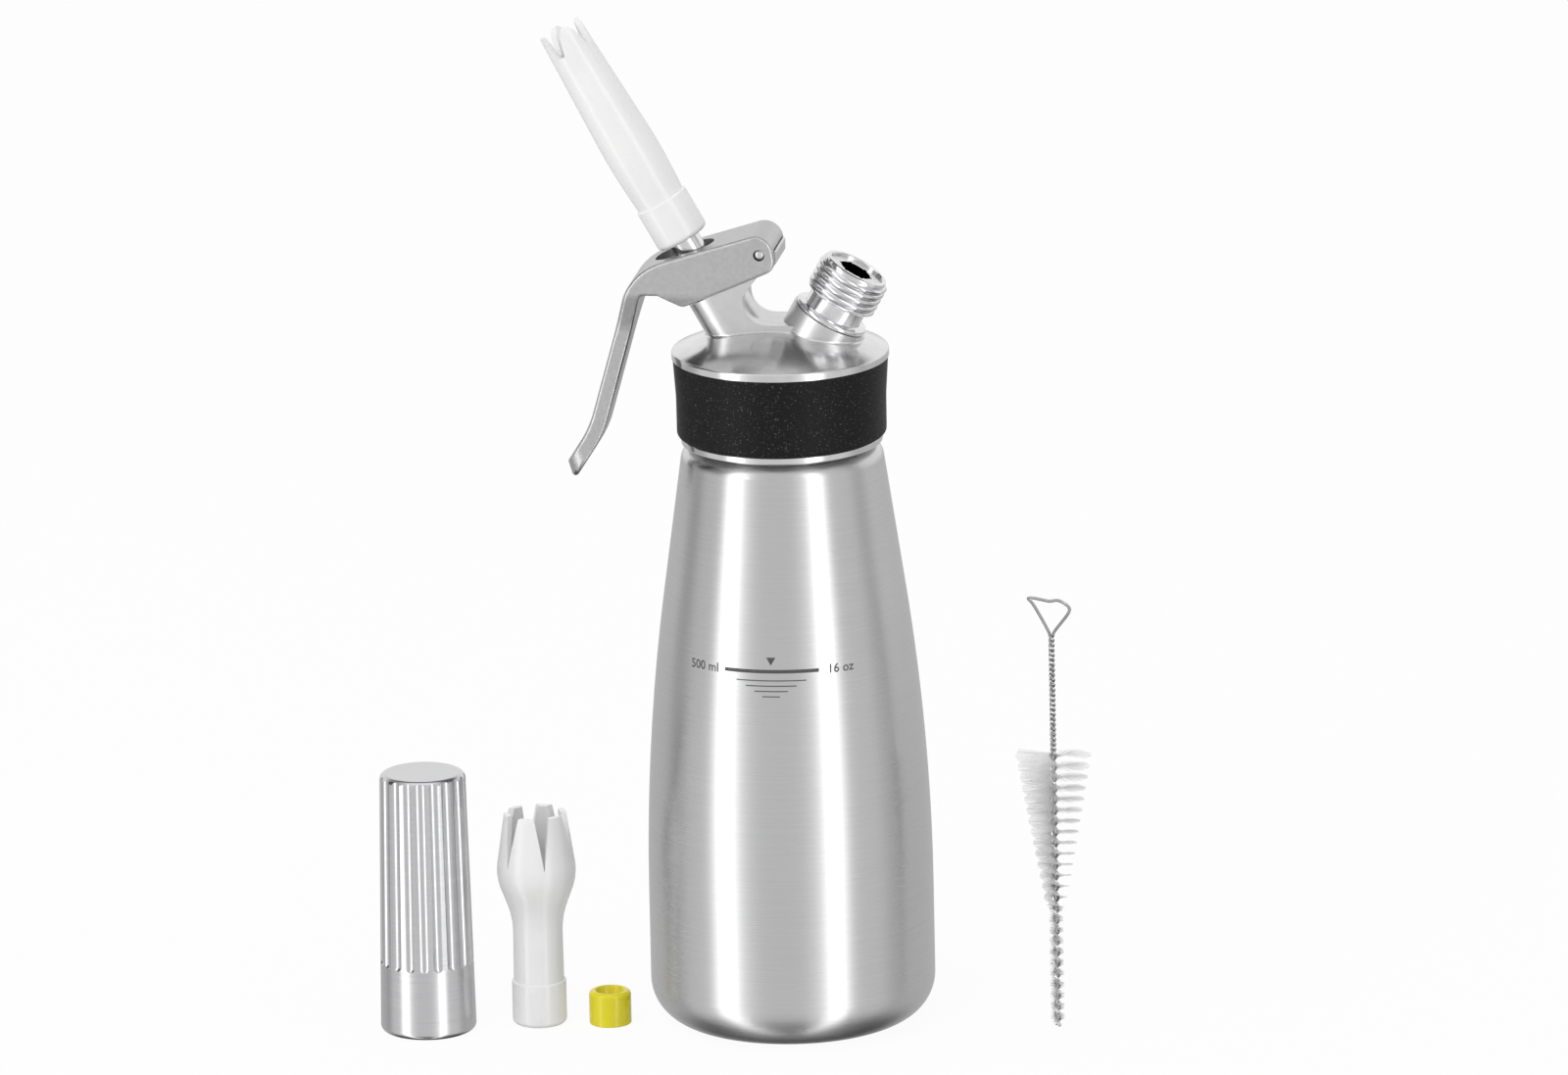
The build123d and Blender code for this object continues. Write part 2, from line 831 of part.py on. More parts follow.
def charger_nipple():
    spigot_low = boss_top - nipple_spigot_long + turning_gap
    body = turned(
        [
            (0, spigot_low),
            (nipple_spigot_r, spigot_low),
            (nipple_spigot_r, boss_top),
            (flange_r, boss_top),
            (flange_r, boss_top + flange_thick),
            (nipple_neck_r, boss_top + flange_thick),
            (nipple_neck_r, thread_low),
            (thread_r, thread_low),
            (thread_r, thread_top),
            (nipple_rim_r, thread_top),
            (nipple_rim_r, nipple_rim_top),
            (nipple_cup_r, nipple_rim_top),
            (nipple_cup_r, nipple_cup_floor),
            (0, nipple_cup_floor),
        ],
        [
            0,
            0,
            0,
            flange_round,
            flange_round,
            nipple_neck_round,
            0,
            thread_round,
            thread_round,
            0,
            nipple_rim_round,
            thread_round,
            0,
            0,
        ],
    )
    groove_level = boss_top - nipple_spigot_long / 2
    groove = ring(
        nipple_spigot_r + cut_over,
        nipple_spigot_r - 2 * nipple_ring_r,
        groove_level - nipple_ring_r,
        groove_level + nipple_ring_r,
    )
    body -= groove
    body -= post(gas_hole_r, spigot_low - cut_over, nipple_cup_floor + cut_over)
    return nipple_frame * body


def nipple_o_ring():
    level = boss_top - nipple_spigot_long / 2
    o_ring = Torus(nipple_spigot_r - nipple_ring_r, nipple_ring_r - seat_gap / 2)
    return nipple_frame * Pos(0, 0, level) * o_ring


def piercing_pin():
    base_top = nipple_cup_floor + pin_base_thick
    body = turned(
        [
            (pin_hole_r, nipple_cup_floor),
            (pin_base_r, nipple_cup_floor),
            (pin_base_r, base_top),
            (pin_point_r, base_top),
            (pin_point_r, base_top + pin_shank_long),
            (pin_hole_r + pin_point_wall, base_top + pin_point_long),
            (pin_hole_r, base_top + pin_point_long),
        ],
        0,
    )
    return nipple_frame * body


def charger_seal():
    low = nipple_cup_floor + pin_base_thick
    shell = ring(nipple_cup_r - seat_gap, charger_seal_hole_r, low, low + charger_seal_thick)
    return nipple_frame * shell


def pin_retainer():
    low = nipple_cup_floor + pin_base_thick + charger_seal_thick
    high = nipple_rim_top - retainer_top_drop
    body = ring(nipple_cup_r - seat_gap, retainer_hole_r, low, high)
    for notch in range(retainer_notches):
        turn = Rot(0, 0, notch * 360 / retainer_notches)
        body -= turn * Pos(retainer_hole_r, 0, 0) * post(retainer_notch_r, low - cut_over, high + cut_over)
    return nipple_frame * body


def gas_outlet_level():
    lean = radians(nipple_tilt)
    return (plate_under - cap_top) / cos(lean)


def check_valve():
    level = gas_outlet_level()
    spot = (nipple_frame * Pos(0, 0, level)).position
    disc = post(check_disc_r, -check_disc_thick, 0)
    stem = Rot(0, nipple_tilt, 0) * post(check_stem_r, -check_disc_thick / 2, check_stem_long)
    return Pos(spot.X, 0, spot.Z) * (disc + stem)


def holder_shell():
    outside = [
        (holder_low_r, 0),
        (holder_top_r, holder_high),
        (0, holder_high),
        (0, holder_high - holder_cap_thick),
        (holder_bore_r, holder_high - holder_cap_thick),
        (holder_bore_r, sleeve_long + sleeve_inset),
        (sleeve_r + seat_gap, sleeve_long + sleeve_inset),
        (sleeve_r + seat_gap, 0),
    ]
    rounds = [holder_low_round, holder_top_round, 0, 0, holder_bore_round, 0, 0, 0]
    body = turned(outside, rounds)
    taper = holder_taper / holder_high
    low_r = holder_low_r - taper * flute_low + flute_r - flute_deep
    top_r = holder_low_r - taper * flute_top + flute_r - flute_deep
    line = Line((low_r, 0, flute_low), (top_r, 0, flute_top))
    run = sweep(Plane(origin=line @ 0, z_dir=line % 0) * Circle(flute_r), path=line)
    flute = run + Pos(line @ 0) * Sphere(flute_r)
    flutes = [Rot(0, 0, flute_turn + turn * 360 / flute_count) * flute for turn in range(flute_count)]
    return Pos(holder_x, holder_y, 0) * (body - flutes)


def holder_sleeve():
    inner = sleeve_r - sleeve_wall
    return Pos(holder_x, holder_y, 0) * ring(sleeve_r, inner, sleeve_inset, sleeve_long + sleeve_inset)


def brush_wire():
    base = brush_neck_z + loop_wire_r
    outline = FilletPolyline(
        (0, base),
        (-loop_ear_x, base + loop_high),
        (-loop_dip_x, base + loop_high - loop_dip),
        (loop_top_x, base + loop_high - loop_top_dip),
        (loop_side_x, base + loop_side_high),
        radius=loop_round,
        close=True,
    )
    path = (Plane.XZ * outline).wire()
    section = Plane(origin=path @ 0, z_dir=path % 0) * Circle(loop_wire_r)
    stem = post(brush_wire_r, brush_low_z, path.bounding_box().min.Z)
    return Pos(brush_x, brush_y, 0) * (stem + sweep(section, path=path))


def bristle_reach_at(level):
    if level < bristle_waist_z:
        return bristle_tip_reach
    share = (level - bristle_waist_z) / (brush_low_z - bristle_waist_z)
    return bristle_waist_reach + share * (bristle_reach - bristle_waist_reach)


def brush_bristles():
    core = post(bristle_core_r, 0, brush_low_z)
    strands = []
    for step, low, high in (
        (bristle_low_step, bristle_tip_z, bristle_waist_z),
        (bristle_step, bristle_waist_z, brush_low_z - bristle_r),
    ):
        count = round((high - low) / step)
        for k in range(count):
            level = low + (high - low) * (k + 0.5) / count
            reach = bristle_reach_at(level)
            turn = -360 * level / bristle_pitch
            strand = extrude(RegularPolygon(bristle_r, 3), amount=reach)
            for side in (0, 180):
                strands.append(Pos(0, 0, level) * Rot(0, 0, turn + side) * Rot(0, 90, 0) * strand)
    body = core.fuse(*[solid for strand in strands for solid in strand.solids()])
    return Pos(brush_x, brush_y, 0) * body


pieces = {
    "bottle": bottle,
    "head_gasket": head_gasket,
    "head_casting": head_casting,
    "grip_band": grip_band,
    "lever": lever,
    "lever_pin": lever_pin,
    "valve_piston": valve_piston,
    "piston_o_ring": piston_o_ring,
    "valve_seal": valve_seal,
    "valve_end_piece": valve_end_piece,
    "valve_spring": valve_spring,
    "straight_tip": straight_tip,
    "straight_tip_insert": straight_tip_insert,
    "charger_nipple": charger_nipple,
    "nipple_o_ring": nipple_o_ring,
    "piercing_pin": piercing_pin,
    "charger_seal": charger_seal,
    "pin_retainer": pin_retainer,
    "check_valve": check_valve,
    "holder_shell": holder_shell,
    "holder_sleeve": holder_sleeve,
    "tulip_tip": tulip_tip,
    "tulip_tip_insert": tulip_tip_insert,
    "spare_end_piece": spare_end_piece,
    "brush_wire": brush_wire,
    "brush_bristles": brush_bristles,
}

os.makedirs("parts", exist_ok=True)
for name, make in pieces.items():
    export_step(make(), os.path.join("parts", name + ".step"))
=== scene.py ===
# %% [markdown]
# # A cream whipper set, dressed for its picture
# A CAD model already holds every part of the whipper at its real size: the bottle, the
# head with its lever and valve, the tips, the charger holder and the brush. This file
# loads that model as a fixed frame and gives it what CAD leaves out: the finish of each
# metal and plastic, the screw thread, the twisted wire, the bristles and the printed
# fill mark. Nothing here moves or resizes a CAD part.

# %% Load the CAD frame
import json
import math
import random

import bmesh
import bpy
from mathutils import Matrix, Vector


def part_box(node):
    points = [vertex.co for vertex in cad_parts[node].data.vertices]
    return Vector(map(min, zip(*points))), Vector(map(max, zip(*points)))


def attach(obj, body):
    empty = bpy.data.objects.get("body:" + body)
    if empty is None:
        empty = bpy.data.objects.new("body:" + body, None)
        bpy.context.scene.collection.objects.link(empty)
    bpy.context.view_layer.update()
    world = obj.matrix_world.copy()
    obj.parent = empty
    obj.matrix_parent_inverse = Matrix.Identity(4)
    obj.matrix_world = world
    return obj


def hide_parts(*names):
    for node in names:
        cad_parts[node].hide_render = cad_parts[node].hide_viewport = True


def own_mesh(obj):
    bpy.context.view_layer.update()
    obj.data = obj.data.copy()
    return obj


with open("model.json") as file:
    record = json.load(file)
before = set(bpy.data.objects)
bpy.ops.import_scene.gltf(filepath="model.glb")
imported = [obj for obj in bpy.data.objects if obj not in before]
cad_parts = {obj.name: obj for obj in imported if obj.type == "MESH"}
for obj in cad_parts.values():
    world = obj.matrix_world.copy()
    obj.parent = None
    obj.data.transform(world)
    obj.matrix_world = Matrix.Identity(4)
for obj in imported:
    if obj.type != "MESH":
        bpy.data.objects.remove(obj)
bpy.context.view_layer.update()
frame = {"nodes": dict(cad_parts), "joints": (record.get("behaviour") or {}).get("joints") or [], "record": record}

nodes = frame["nodes"]
record = frame["record"]
slot_of = {part["node"]: part["material_slot"] for part in record["subparts"]}
body_of = {node: body for body, group in record["behaviour"]["bodies"].items() for node in group}
mm = 0.001

# %% [markdown]
# ## Camera
# The picture looks taken from far away with a long lens, a little from the right and from
# above, because upright edges stay almost parallel. A camera could be aimed with a Track To
# constraint, but then it could not lean, and the picture leans by about a degree. So the
# camera's matrix is written straight from its three directions: right, up and back.

# %% Place the camera
view_azimuth = math.radians(9.0)
view_rise = math.radians(15.1)
view_lean = math.radians(-1.2)
view_distance = 5.0
picture_wide_px = 1600
picture_scale = 0.2784 * mm
picture_middle = (-2.87 * mm, 135.4 * mm)

back = Vector((
    math.sin(view_azimuth) * math.cos(view_rise),
    -math.cos(view_azimuth) * math.cos(view_rise),
    math.sin(view_rise),
))
level_right = (-back).cross(Vector((0, 0, 1))).normalized()
level_up = level_right.cross(-back)
right = level_right * math.cos(view_lean) + level_up * math.sin(view_lean)
up = level_up * math.cos(view_lean) - level_right * math.sin(view_lean)
eye = right * picture_middle[0] + up * picture_middle[1] + back * view_distance

lens = bpy.data.cameras.new("studio_camera")
lens.lens = lens.sensor_width * view_distance / (picture_wide_px * picture_scale)
camera = bpy.data.objects.new("studio_camera", lens)
camera.matrix_world = Matrix.Translation(eye) @ Matrix((right, up, back)).transposed().to_4x4()
bpy.context.scene.collection.objects.link(camera)
bpy.context.scene.camera = camera
bpy.context.scene.view_settings.view_transform = "Standard"
print("lens in mm:", round(lens.lens, 1))

# %% [markdown]
# ## Small helpers for nodes
# Every finish and the studio itself are node trees. One helper makes a node, sets what is
# a number and links what is a socket, so that a tree reads like a list of its nodes.

# %% Node helpers
def add(tree, kind, inputs, **settings):
    made = tree.nodes.new("ShaderNode" + kind)
    for name, value in settings.items():
        setattr(made, name, value)
    for name, value in inputs.items():
        if isinstance(value, bpy.types.NodeSocket):
            tree.links.new(value, made.inputs[name])
        else:
            made.inputs[name].default_value = value
    return made


def calc(tree, operation, *values):
    return add(tree, "Math", dict(enumerate(values)), operation=operation).outputs[0]


def fade(tree, value, start, end, low, high):
    inputs = {"Value": value, "From Min": start, "From Max": end, "To Min": low, "To Max": high}
    return add(tree, "MapRange", inputs, interpolation_type="SMOOTHSTEP").outputs["Result"]


# %% [markdown]
# ## Studio
# Metal looks like what it mirrors. The picture's bottle shows two tall bright bands, as two
# softboxes beside the camera would give, and darker strips near its edges, as black flags
# would. They could be area lamps and cards, but a world painted by direction is steadier:
# each panel is a band of azimuth with soft ends that adds light or takes it away. Its numbers
# are middle, half width and softness in degrees, strength, and the height at which it starts.
# A height is the sine of the angle above the horizon, and a pair is where a change starts and
# where it ends.
# The backdrop behind the object is white above the ground and greyer below, which gives an
# upright wall its darker edges. Above it comes a dark belt, which the domed cap mirrors, and
# straight overhead a bright sheet, which draws the light lines along upper edges. Steeply down
# it is dark. Only mirrors see all this. Matt surfaces get plain even light, and camera rays
# see plain white, which is the picture's background.

# %% Studio world
plain_light = 0.78
room_grey = 0.76
pit_grey = 0.12
belt_grey = 0.1
backdrop_white = 1.0
backdrop_foot = 0.5
overhead = 1.2
sheet_rise = (0.86, 0.96)
pit_rise = (-0.85, -0.5)
backdrop_rise = (-0.2, 0.1)
belt_rise = (0.5, 0.68)
backdrop_end = (0.86, 0.95)
backdrop_side = (0.1, 0.5)
panel_end = (0.6, 0.9)
panel_foot_soft = 0.1
panels = (
    (-47.0, 9.0, 6.0, 1.8, -2.0),
    (46.0, 8.0, 6.0, 1.8, -2.0),
    (-37.0, 10.0, 12.0, 0.35, -2.0),
    (37.0, 10.0, 12.0, 0.35, -2.0),
    (-100.0, 10.0, 8.0, -0.32, -2.0),
    (101.0, 9.0, 8.0, -0.24, -2.0),
    (-88.0, 26.0, 5.0, -0.5, 0.12),
)


def studio_world():
    world = bpy.data.worlds.new("studio")
    world.use_nodes = True
    tree = world.node_tree
    tree.nodes.clear()
    way = add(tree, "TexCoord", {}).outputs["Generated"]
    axes = add(tree, "SeparateXYZ", {0: way}).outputs
    azimuth = calc(tree, "ARCTAN2", axes["X"], calc(tree, "MULTIPLY", axes["Y"], -1.0))
    height = axes["Z"]
    light = fade(tree, height, *sheet_rise, room_grey, overhead)
    light = calc(tree, "ADD", light, fade(tree, height, *pit_rise, pit_grey - room_grey, 0.0))
    foot, top = backdrop_foot - room_grey, backdrop_white - room_grey
    backdrop = fade(tree, height, *backdrop_rise, foot, top)
    belt = fade(tree, height, *belt_rise, 0.0, belt_grey - backdrop_white)
    below_sheet = fade(tree, height, *backdrop_end, 1.0, 0.0)
    behind = calc(tree, "MULTIPLY", fade(tree, axes["Y"], *backdrop_side, 0.0, 1.0), below_sheet)
    light = calc(tree, "MULTIPLY_ADD", behind, calc(tree, "ADD", backdrop, belt), light)
    for middle, half, soft, strength, start in panels:
        turn = calc(tree, "SUBTRACT", azimuth, math.radians(middle))
        off = calc(tree, "ABSOLUTE", calc(tree, "WRAP", turn, math.pi, -math.pi))
        band = fade(tree, off, math.radians(half - soft), math.radians(half + soft), strength, 0.0)
        rising = fade(tree, height, start, start + panel_foot_soft, 0.0, 1.0)
        tall = calc(tree, "MULTIPLY", rising, fade(tree, height, *panel_end, 1.0, 0.0))
        light = calc(tree, "MULTIPLY_ADD", band, tall, light)
    plain = add(tree, "Background", {"Color": (1, 1, 1, 1), "Strength": plain_light}).outputs[0]
    studio = add(tree, "Background", {"Color": (1, 1, 1, 1), "Strength": light}).outputs[0]
    white = add(tree, "Background", {"Color": (1, 1, 1, 1), "Strength": 1.0}).outputs[0]
    path = add(tree, "LightPath", {}).outputs
    mixed = add(tree, "MixShader", {0: path["Is Glossy Ray"], 1: plain, 2: studio}).outputs[0]
    seen = calc(tree, "MAXIMUM", path["Is Camera Ray"], path["Is Transmission Ray"])
    mixed = add(tree, "MixShader", {0: seen, 1: mixed, 2: white}).outputs[0]
    add(tree, "OutputWorld", {"Surface": mixed})
    return world


bpy.context.scene.world = studio_world()
print("panels in the studio:", len(panels))

# %% [markdown]
# ## Lamp and floor
# One large lamp above the left shoulder gives the soft shadows. It is hidden from mirrors,
# which already see the softboxes. The floor is white: for the camera it shines by itself, so
# that it comes out as white as the picture's ground, and the rest of it is plain paint, which
# keeps the object's shadow. A white floor alone would wash out every bright metal, which in a
# studio stands among cards and flags, so mirrors see the floor only as a thin white veil over
# the painted room below the horizon.

# %% Lamp and floor
lamp_place = Vector((-0.7, -1.1, 1.6))
lamp_watts = 13.0
lamp_wide = 1.1
floor_half = 4.0
floor_paint = 0.82
floor_shine = 0.94
floor_veil = 0.15

lamp_data = bpy.data.lights.new("overhead_lamp", "AREA")
lamp_data.energy = lamp_watts
lamp_data.size = lamp_wide
lamp = bpy.data.objects.new("overhead_lamp", lamp_data)
lamp.location = lamp_place
lamp.rotation_euler = (-lamp_place).to_track_quat("-Z", "Y").to_euler()
lamp.visible_glossy = False
bpy.context.scene.collection.objects.link(lamp)


def white_floor():
    material = bpy.data.materials.new("white_floor")
    material.use_nodes = True
    tree = material.node_tree
    tree.nodes.clear()
    paint = add(tree, "BsdfDiffuse", {"Color": (floor_paint, floor_paint, floor_paint, 1)})
    shine = add(tree, "Emission", {"Color": (1, 1, 1, 1), "Strength": 1.0})
    path = add(tree, "LightPath", {}).outputs
    seen = calc(tree, "MAXIMUM", path["Is Camera Ray"], path["Is Transmission Ray"])
    seen = calc(tree, "MAXIMUM", seen, path["Is Glossy Ray"])
    share = calc(tree, "MULTIPLY", seen, floor_shine)
    white = add(tree, "MixShader", {0: share, 1: paint.outputs[0], 2: shine.outputs[0]})
    clear = add(tree, "BsdfTransparent", {})
    mirrored = calc(tree, "MULTIPLY", path["Is Glossy Ray"], 1.0 - floor_veil)
    mixed = add(tree, "MixShader", {0: mirrored, 1: white.outputs[0], 2: clear.outputs[0]})
    add(tree, "OutputMaterial", {"Surface": mixed.outputs[0]})
    return material


def new_object(name, bm):
    mesh = bpy.data.meshes.new(name)
    bm.to_mesh(mesh)
    bm.free()
    made = bpy.data.objects.new(name, mesh)
    bpy.context.scene.collection.objects.link(made)
    return made


bm = bmesh.new()
bmesh.ops.create_grid(bm, x_segments=1, y_segments=1, size=floor_half)
floor = new_object("floor", bm)
floor.data.materials.append(white_floor())
print("floor side in m:", 2 * floor_half)

# %% [markdown]
# ## Finishes
# A finish starts from the Principled shader. What is the same all over is set on its own
# socket, and what varies comes from noise read at the object's own coordinates, so the
# grain keeps its size and stays put when a part moves.

# %% Start a finish
def start_finish(name, **sockets):
    material = bpy.data.materials.new(name)
    material.use_nodes = True
    tree = material.node_tree
    shader = tree.nodes["Principled BSDF"]
    for socket, value in sockets.items():
        shader.inputs[socket.replace("_", " ")].default_value = value
    place = add(tree, "TexCoord", {}).outputs["Object"]
    return material, tree, shader, place


def grain(tree, place, stretch, detail=3.0):
    spot = add(tree, "Mapping", {"Vector": place, "Scale": stretch}).outputs[0]
    return add(tree, "TexNoise", {"Vector": spot, "Scale": 1.0, "Detail": detail}).outputs["Fac"]


def vary(tree, shader, socket, value, low, high):
    tree.links.new(fade(tree, value, 0.3, 0.7, low, high), shader.inputs[socket])


def shade(tree, shader, value, dark, light):
    ramp = add(tree, "ValToRGB", {"Fac": value})
    ramp.color_ramp.elements[0].position = 0.3
    ramp.color_ramp.elements[0].color = (*dark, 1)
    ramp.color_ramp.elements[1].position = 0.7
    ramp.color_ramp.elements[1].color = (*light, 1)
    tree.links.new(ramp.outputs["Color"], shader.inputs["Base Color"])


def rough_up(tree, shader, value, depth, strength):
    inputs = {"Height": value, "Distance": depth, "Strength": strength}
    bump = add(tree, "Bump", inputs)
    tree.links.new(bump.outputs["Normal"], shader.inputs["Normal"])


print("finish helpers ready")

# %% [markdown]
# ### Brushed steel
# The bottle is drawn steel, brushed round and round. Such brushing smears a highlight
# across the scratches, so up and down the bottle, which is why the softboxes show as tall
# bands. Anisotropy does that: the tangent runs round the axis, and a quarter turn lays the
# smear upright. The scratches are noise squeezed flat.

# %% Brushed steel
def brushed_steel():
    sockets = {"Metallic": 1.0, "Anisotropic": 0.7, "Anisotropic_Rotation": 0.25}
    material, tree, shader, place = start_finish("brushed_steel", **sockets)
    fine = grain(tree, place, (60, 60, 9000))
    broad = grain(tree, place, (30, 30, 1800))
    shade(tree, shader, broad, (0.595, 0.595, 0.6), (0.625, 0.625, 0.63))
    vary(tree, shader, "Roughness", fine, 0.27, 0.33)
    rough_up(tree, shader, fine, 0.01 * mm, 0.15)
    around = add(tree, "Tangent", {}, direction_type="RADIAL", axis="Z")
    tree.links.new(around.outputs[0], shader.inputs["Tangent"])
    return material


# %% [markdown]
# ### Cast aluminium
# The head is one casting. Its domed top and rim are turned on a lathe, while the tower, the
# saddle and the boss keep a satin skin. One finish can do both: the dome is part of a sphere,
# so a point is on it when its distance from the sphere's middle is the dome's radius. Turning
# leaves fine rings, which smear what the dome mirrors outwards from the middle.

# %% Cast aluminium
dome_radius = 67.8 * mm
dome_peak = 202.6 * mm
rim_top = 195.9 * mm
rim_blend = 0.2 * mm
dome_skin = (0.15 * mm, 0.7 * mm)
dome_smear = 0.7
satin_rough = 0.14


def cast_aluminium():
    sockets = {"Metallic": 1.0, "Anisotropic_Rotation": 0.25}
    material, tree, shader, place = start_finish("cast_aluminium", **sockets)
    middle = Vector((0, 0, dome_peak - dome_radius))
    away = add(tree, "VectorMath", {0: place, 1: middle}, operation="DISTANCE").outputs["Value"]
    off_dome = calc(tree, "ABSOLUTE", calc(tree, "SUBTRACT", away, dome_radius))
    height = add(tree, "SeparateXYZ", {0: place}).outputs["Z"]
    above_rim = fade(tree, height, rim_top, rim_top + rim_blend, 0.0, 1.0)
    satin = calc(tree, "MULTIPLY", fade(tree, off_dome, *dome_skin, 0.0, 1.0), above_rim)
    skin = grain(tree, place, (2600, 2600, 2600))
    shade(tree, shader, grain(tree, place, (300, 300, 300)), (0.66, 0.66, 0.66), (0.72, 0.72, 0.72))
    rough = calc(tree, "MULTIPLY_ADD", satin, satin_rough, fade(tree, skin, 0.3, 0.7, 0.16, 0.2))
    tree.links.new(rough, shader.inputs["Roughness"])
    smear = calc(tree, "MULTIPLY_ADD", satin, -dome_smear, dome_smear)
    tree.links.new(smear, shader.inputs["Anisotropic"])
    around = add(tree, "Tangent", {}, direction_type="RADIAL", axis="Z")
    tree.links.new(around.outputs[0], shader.inputs["Tangent"])
    rough_up(tree, shader, calc(tree, "MULTIPLY", skin, satin), 0.03 * mm, 0.35)
    return material


# %% [markdown]
# ### Blasted, turned and plated metals
# The lever looks bead-blasted: a fine even grain that spreads light. The charger holder is
# turned bright. The nipple, the valve stem and the pins are plated or ground smooth. In the
# nipple's cup the metal gets a near-black base colour as painted shade, and only its upper face
# stays bright: how far a point lies along the nipple's axis tells the two apart.

# %% Other metals
def blasted_aluminium():
    material, tree, shader, place = start_finish("blasted_aluminium", Metallic=1.0)
    beads = grain(tree, place, (5200, 5200, 5200))
    shade(tree, shader, grain(tree, place, (900, 900, 900)), (0.51, 0.51, 0.51), (0.57, 0.57, 0.57))
    vary(tree, shader, "Roughness", beads, 0.3, 0.42)
    rough_up(tree, shader, beads, 0.04 * mm, 0.5)
    return material


def turned_aluminium():
    material, tree, shader, place = start_finish("turned_aluminium", Metallic=1.0)
    rings = grain(tree, place, (60, 60, 3000))
    shade(tree, shader, rings, (0.58, 0.58, 0.59), (0.63, 0.63, 0.64))
    vary(tree, shader, "Roughness", rings, 0.2, 0.24)
    rough_up(tree, shader, rings, 0.01 * mm, 0.04)
    return material


def bright_chrome():
    material, tree, shader, place = start_finish("bright_chrome", Metallic=1.0)
    haze = grain(tree, place, (700, 700, 700))
    shade(tree, shader, haze, (0.7, 0.7, 0.71), (0.78, 0.78, 0.79))
    vary(tree, shader, "Roughness", haze, 0.03, 0.07)
    return material


# Painted shade: below the cup's upper face the base colour is near black, standing in for the shade deep in the
# nipple's cup; the upper face keeps a bright metal colour.
def cup_shade_metal(axis, top):
    material, tree, shader, place = start_finish("cup_shade_metal", Metallic=1.0)
    level = add(tree, "VectorMath", {0: place, 1: axis}, operation="DOT_PRODUCT").outputs["Value"]
    unshaded_face = fade(tree, level, top - 0.12 * mm, top - 0.02 * mm, 0.3, 0.7)
    shade(tree, shader, unshaded_face, (0.02, 0.02, 0.02), (0.78, 0.78, 0.78))
    vary(tree, shader, "Roughness", grain(tree, place, (900, 900, 900)), 0.24, 0.34)
    return material


def drawn_wire():
    material, tree, shader, place = start_finish("drawn_wire", Metallic=1.0)
    marks = grain(tree, place, (3000, 3000, 300))
    shade(tree, shader, marks, (0.4, 0.4, 0.4), (0.52, 0.52, 0.52))
    vary(tree, shader, "Roughness", marks, 0.1, 0.18)
    return material


# %% [markdown]
# ### Rubbers and plastics
# The grip band is black rubber with pale specks moulded in: a noise with a sharp threshold
# picks the specks out. The seals are plain grey rubber. The tips are glossy white plastic,
# and light goes a little way into it. The end piece is the same in yellow.

# %% Rubbers and plastics
def speckled_rubber():
    material, tree, shader, place = start_finish("speckled_rubber", Specular_IOR_Level=0.2)
    specks = grain(tree, place, (2600, 2600, 2600), detail=1.0)
    pick = fade(tree, specks, 0.66, 0.76, 0.0, 1.0)
    ramp = add(tree, "ValToRGB", {"Fac": pick})
    ramp.color_ramp.elements[0].color = (0.004, 0.004, 0.004, 1)
    ramp.color_ramp.elements[1].color = (0.16, 0.16, 0.16, 1)
    tree.links.new(ramp.outputs["Color"], shader.inputs["Base Color"])
    skin = grain(tree, place, (2400, 2400, 2400))
    vary(tree, shader, "Roughness", skin, 0.42, 0.6)
    rough_up(tree, shader, skin, 0.05 * mm, 0.4)
    return material


def seal_rubber():
    material, tree, shader, place = start_finish("seal_rubber", Roughness=0.6)
    skin = grain(tree, place, (900, 900, 900))
    shade(tree, shader, skin, (0.42, 0.42, 0.41), (0.5, 0.5, 0.49))
    rough_up(tree, shader, skin, 0.03 * mm, 0.3)
    return material


def moulded_plastic(name, dark, light, depth):
    sockets = {"Subsurface_Weight": 0.15, "Subsurface_Radius": depth, "Subsurface_Scale": 1.0}
    material, tree, shader, place = start_finish(name, **sockets)
    flow = grain(tree, place, (120, 120, 60))
    shade(tree, shader, flow, dark, light)
    vary(tree, shader, "Roughness", flow, 0.13, 0.19)
    rough_up(tree, shader, grain(tree, place, (1400, 1400, 1400)), 0.01 * mm, 0.15)
    return material


def white_plastic():
    depth = (1.2 * mm, 1.1 * mm, 1.0 * mm)
    return moulded_plastic("white_plastic", (0.85, 0.85, 0.85), (0.88, 0.88, 0.88), depth)


def yellow_plastic():
    depth = (1.0 * mm, 0.7 * mm, 0.1 * mm)
    return moulded_plastic("yellow_plastic", (0.74, 0.65, 0.006), (0.8, 0.71, 0.01), depth)


def nylon():
    material, tree, shader, place = start_finish("nylon", Roughness=0.3)
    shade(tree, shader, grain(tree, place, (500, 500, 500)), (0.92, 0.92, 0.92), (0.96, 0.96, 0.96))
    through = add(tree, "BsdfTranslucent", {"Color": (0.95, 0.95, 0.95, 1)})
    mixed = add(tree, "MixShader", {0: 0.4, 1: shader.outputs[0], 2: through.outputs[0]})
    tree.links.new(mixed.outputs[0], tree.nodes["Material Output"].inputs["Surface"])
    return material


def printed_ink():
    material, tree, shader, place = start_finish("printed_ink", Roughness=0.5)
    shade(tree, shader, grain(tree, place, (1800, 1800, 1800)), (0.05, 0.05, 0.055), (0.09, 0.09, 0.095))
    return material
